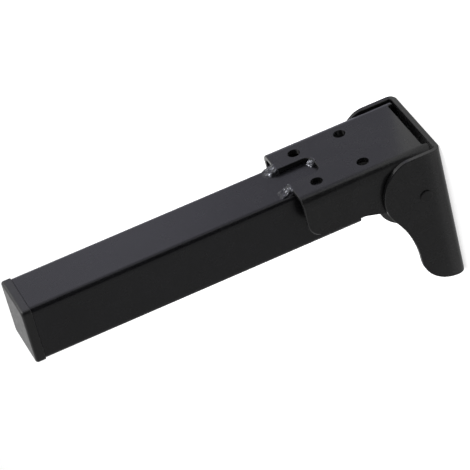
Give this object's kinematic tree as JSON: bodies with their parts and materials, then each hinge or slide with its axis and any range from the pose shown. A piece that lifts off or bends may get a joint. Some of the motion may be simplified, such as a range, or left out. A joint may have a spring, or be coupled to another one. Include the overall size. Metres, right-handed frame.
{
  "type": "folding table leg bracket",
  "caption": "Square tube leg with an end plug, welded to a folded hinge channel that swings on a riveted pin in a U-shaped mounting bracket with rounded tongues.",
  "frame": {"origin": "middle of the bracket's mounting face, which is also the middle of its screw pattern", "axes": "+Z out of the mounting face along the deployed leg, X along the pivot pin, +Y the way the leg's foot swings as it folds"},
  "size_m": [0.0558, 0.0751, 0.21],
  "materials": {
    "powder_coat": "satin black powder coat",
    "tube_coat": "satin black powder coat",
    "pin_paint": "satin black paint over steel",
    "plug_plastic": "matte black moulded plastic",
    "weld_paint": "glossy black paint over weld metal"
  },
  "bodies": {
    "bracket": {"mounting_bracket": "powder_coat", "pivot_pin": "pin_paint"},
    "leg": {"hinge_channel": "powder_coat", "leg_tube": "tube_coat", "end_plug": "plug_plastic", "weld_far_prong": "weld_paint", "weld_near_prong": "weld_paint", "weld_slot": "weld_paint"}
  },
  "joints": [
    {"name": "leg_fold", "type": "hinge", "parent": "bracket", "child": "leg", "pos_m": [0, -0.01465, 0.0121], "axis": [-1, 0, 0], "range_deg": [0, 90]}
  ]
}
